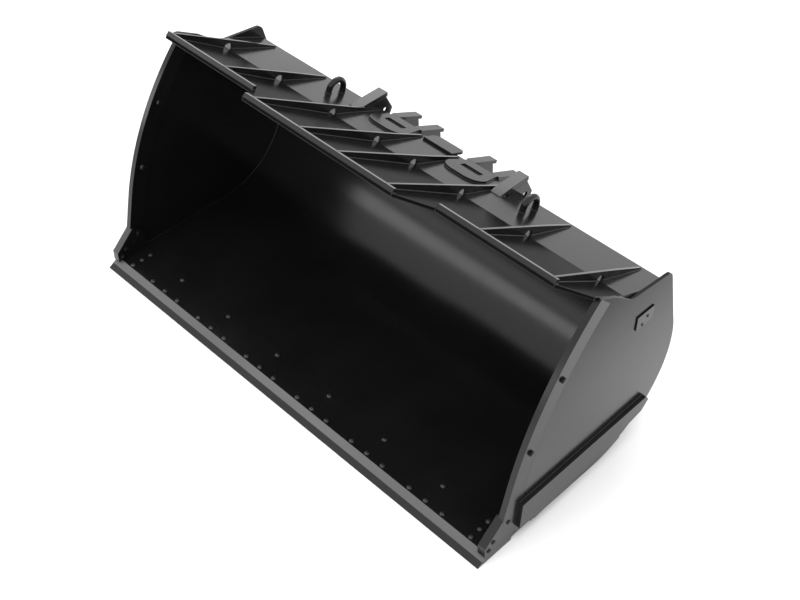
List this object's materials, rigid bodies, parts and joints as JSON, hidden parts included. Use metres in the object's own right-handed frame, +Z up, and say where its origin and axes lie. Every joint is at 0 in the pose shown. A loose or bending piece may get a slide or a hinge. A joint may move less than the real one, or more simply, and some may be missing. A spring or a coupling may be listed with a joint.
{
  "type": "general purpose bucket",
  "caption": "Wide wheel loader bucket with a rolled back, a stepped lip, bolted edges, corner guards and hooks for a coupler.",
  "frame": {"origin": "centre of the bucket's box in plan, at the height of the ground it rests on", "axes": "+X to the right seen from in front of the mouth, +Y back from the cutting edge to the hooks, +Z up"},
  "size_m": [3.256, 1.585, 1.676],
  "materials": {
    "body_paint": "satin near-black paint",
    "wear_paint": "satin near-black paint over hard plate",
    "edge_steel": "thin grey-black paint over a bare ground bevel",
    "bolt_steel": "plated bolt heads and nuts"
  },
  "bodies": {
    "root": {"wrapper": "body_paint", "base_edge": "body_paint", "cutting_edge_left": "edge_steel", "cutting_edge_centre": "edge_steel", "cutting_edge_right": "edge_steel", "side_plate_left": "body_paint", "side_plate_right": "body_paint", "side_bar_left": "body_paint", "side_bar_right": "body_paint", "lip_bar_left": "body_paint", "lip_bar_middle": "body_paint", "lip_bar_right": "body_paint", "gusset_1": "body_paint", "gusset_2": "body_paint", "gusset_3": "body_paint", "gusset_4": "body_paint", "gusset_5": "body_paint", "gusset_6": "body_paint", "gusset_7": "body_paint", "gusset_8": "body_paint", "rear_top_plate": "body_paint", "back_plate": "body_paint", "hook_plate_1": "body_paint", "hook_plate_2": "body_paint", "hook_plate_3": "body_paint", "hook_plate_4": "body_paint", "hook_cap_1": "body_paint", "hook_cap_2": "body_paint", "hook_cap_3": "body_paint", "hook_cap_4": "body_paint", "leaf_plate_left": "body_paint", "leaf_plate_right": "body_paint", "centre_tongue": "body_paint", "bumper_left": "body_paint", "bumper_right": "body_paint", "bumper_web_left": "body_paint", "bumper_web_right": "body_paint", "lifting_eye_left": "body_paint", "lifting_eye_right": "body_paint", "corner_guard_left": "wear_paint", "corner_guard_right": "wear_paint", "side_wear_plate_left": "wear_paint", "side_wear_plate_right": "wear_paint", "bottom_wear_plate_left": "wear_paint", "bottom_wear_plate_centre": "wear_paint", "bottom_wear_plate_right": "wear_paint", "side_cover": "body_paint", "edge_bolts": "bolt_steel", "edge_nuts": "bolt_steel", "side_bar_bolts": "bolt_steel", "side_bar_nuts": "bolt_steel", "guard_bolts": "bolt_steel", "guard_nuts": "bolt_steel", "cover_bolts": "bolt_steel"}
  },
  "joints": []
}
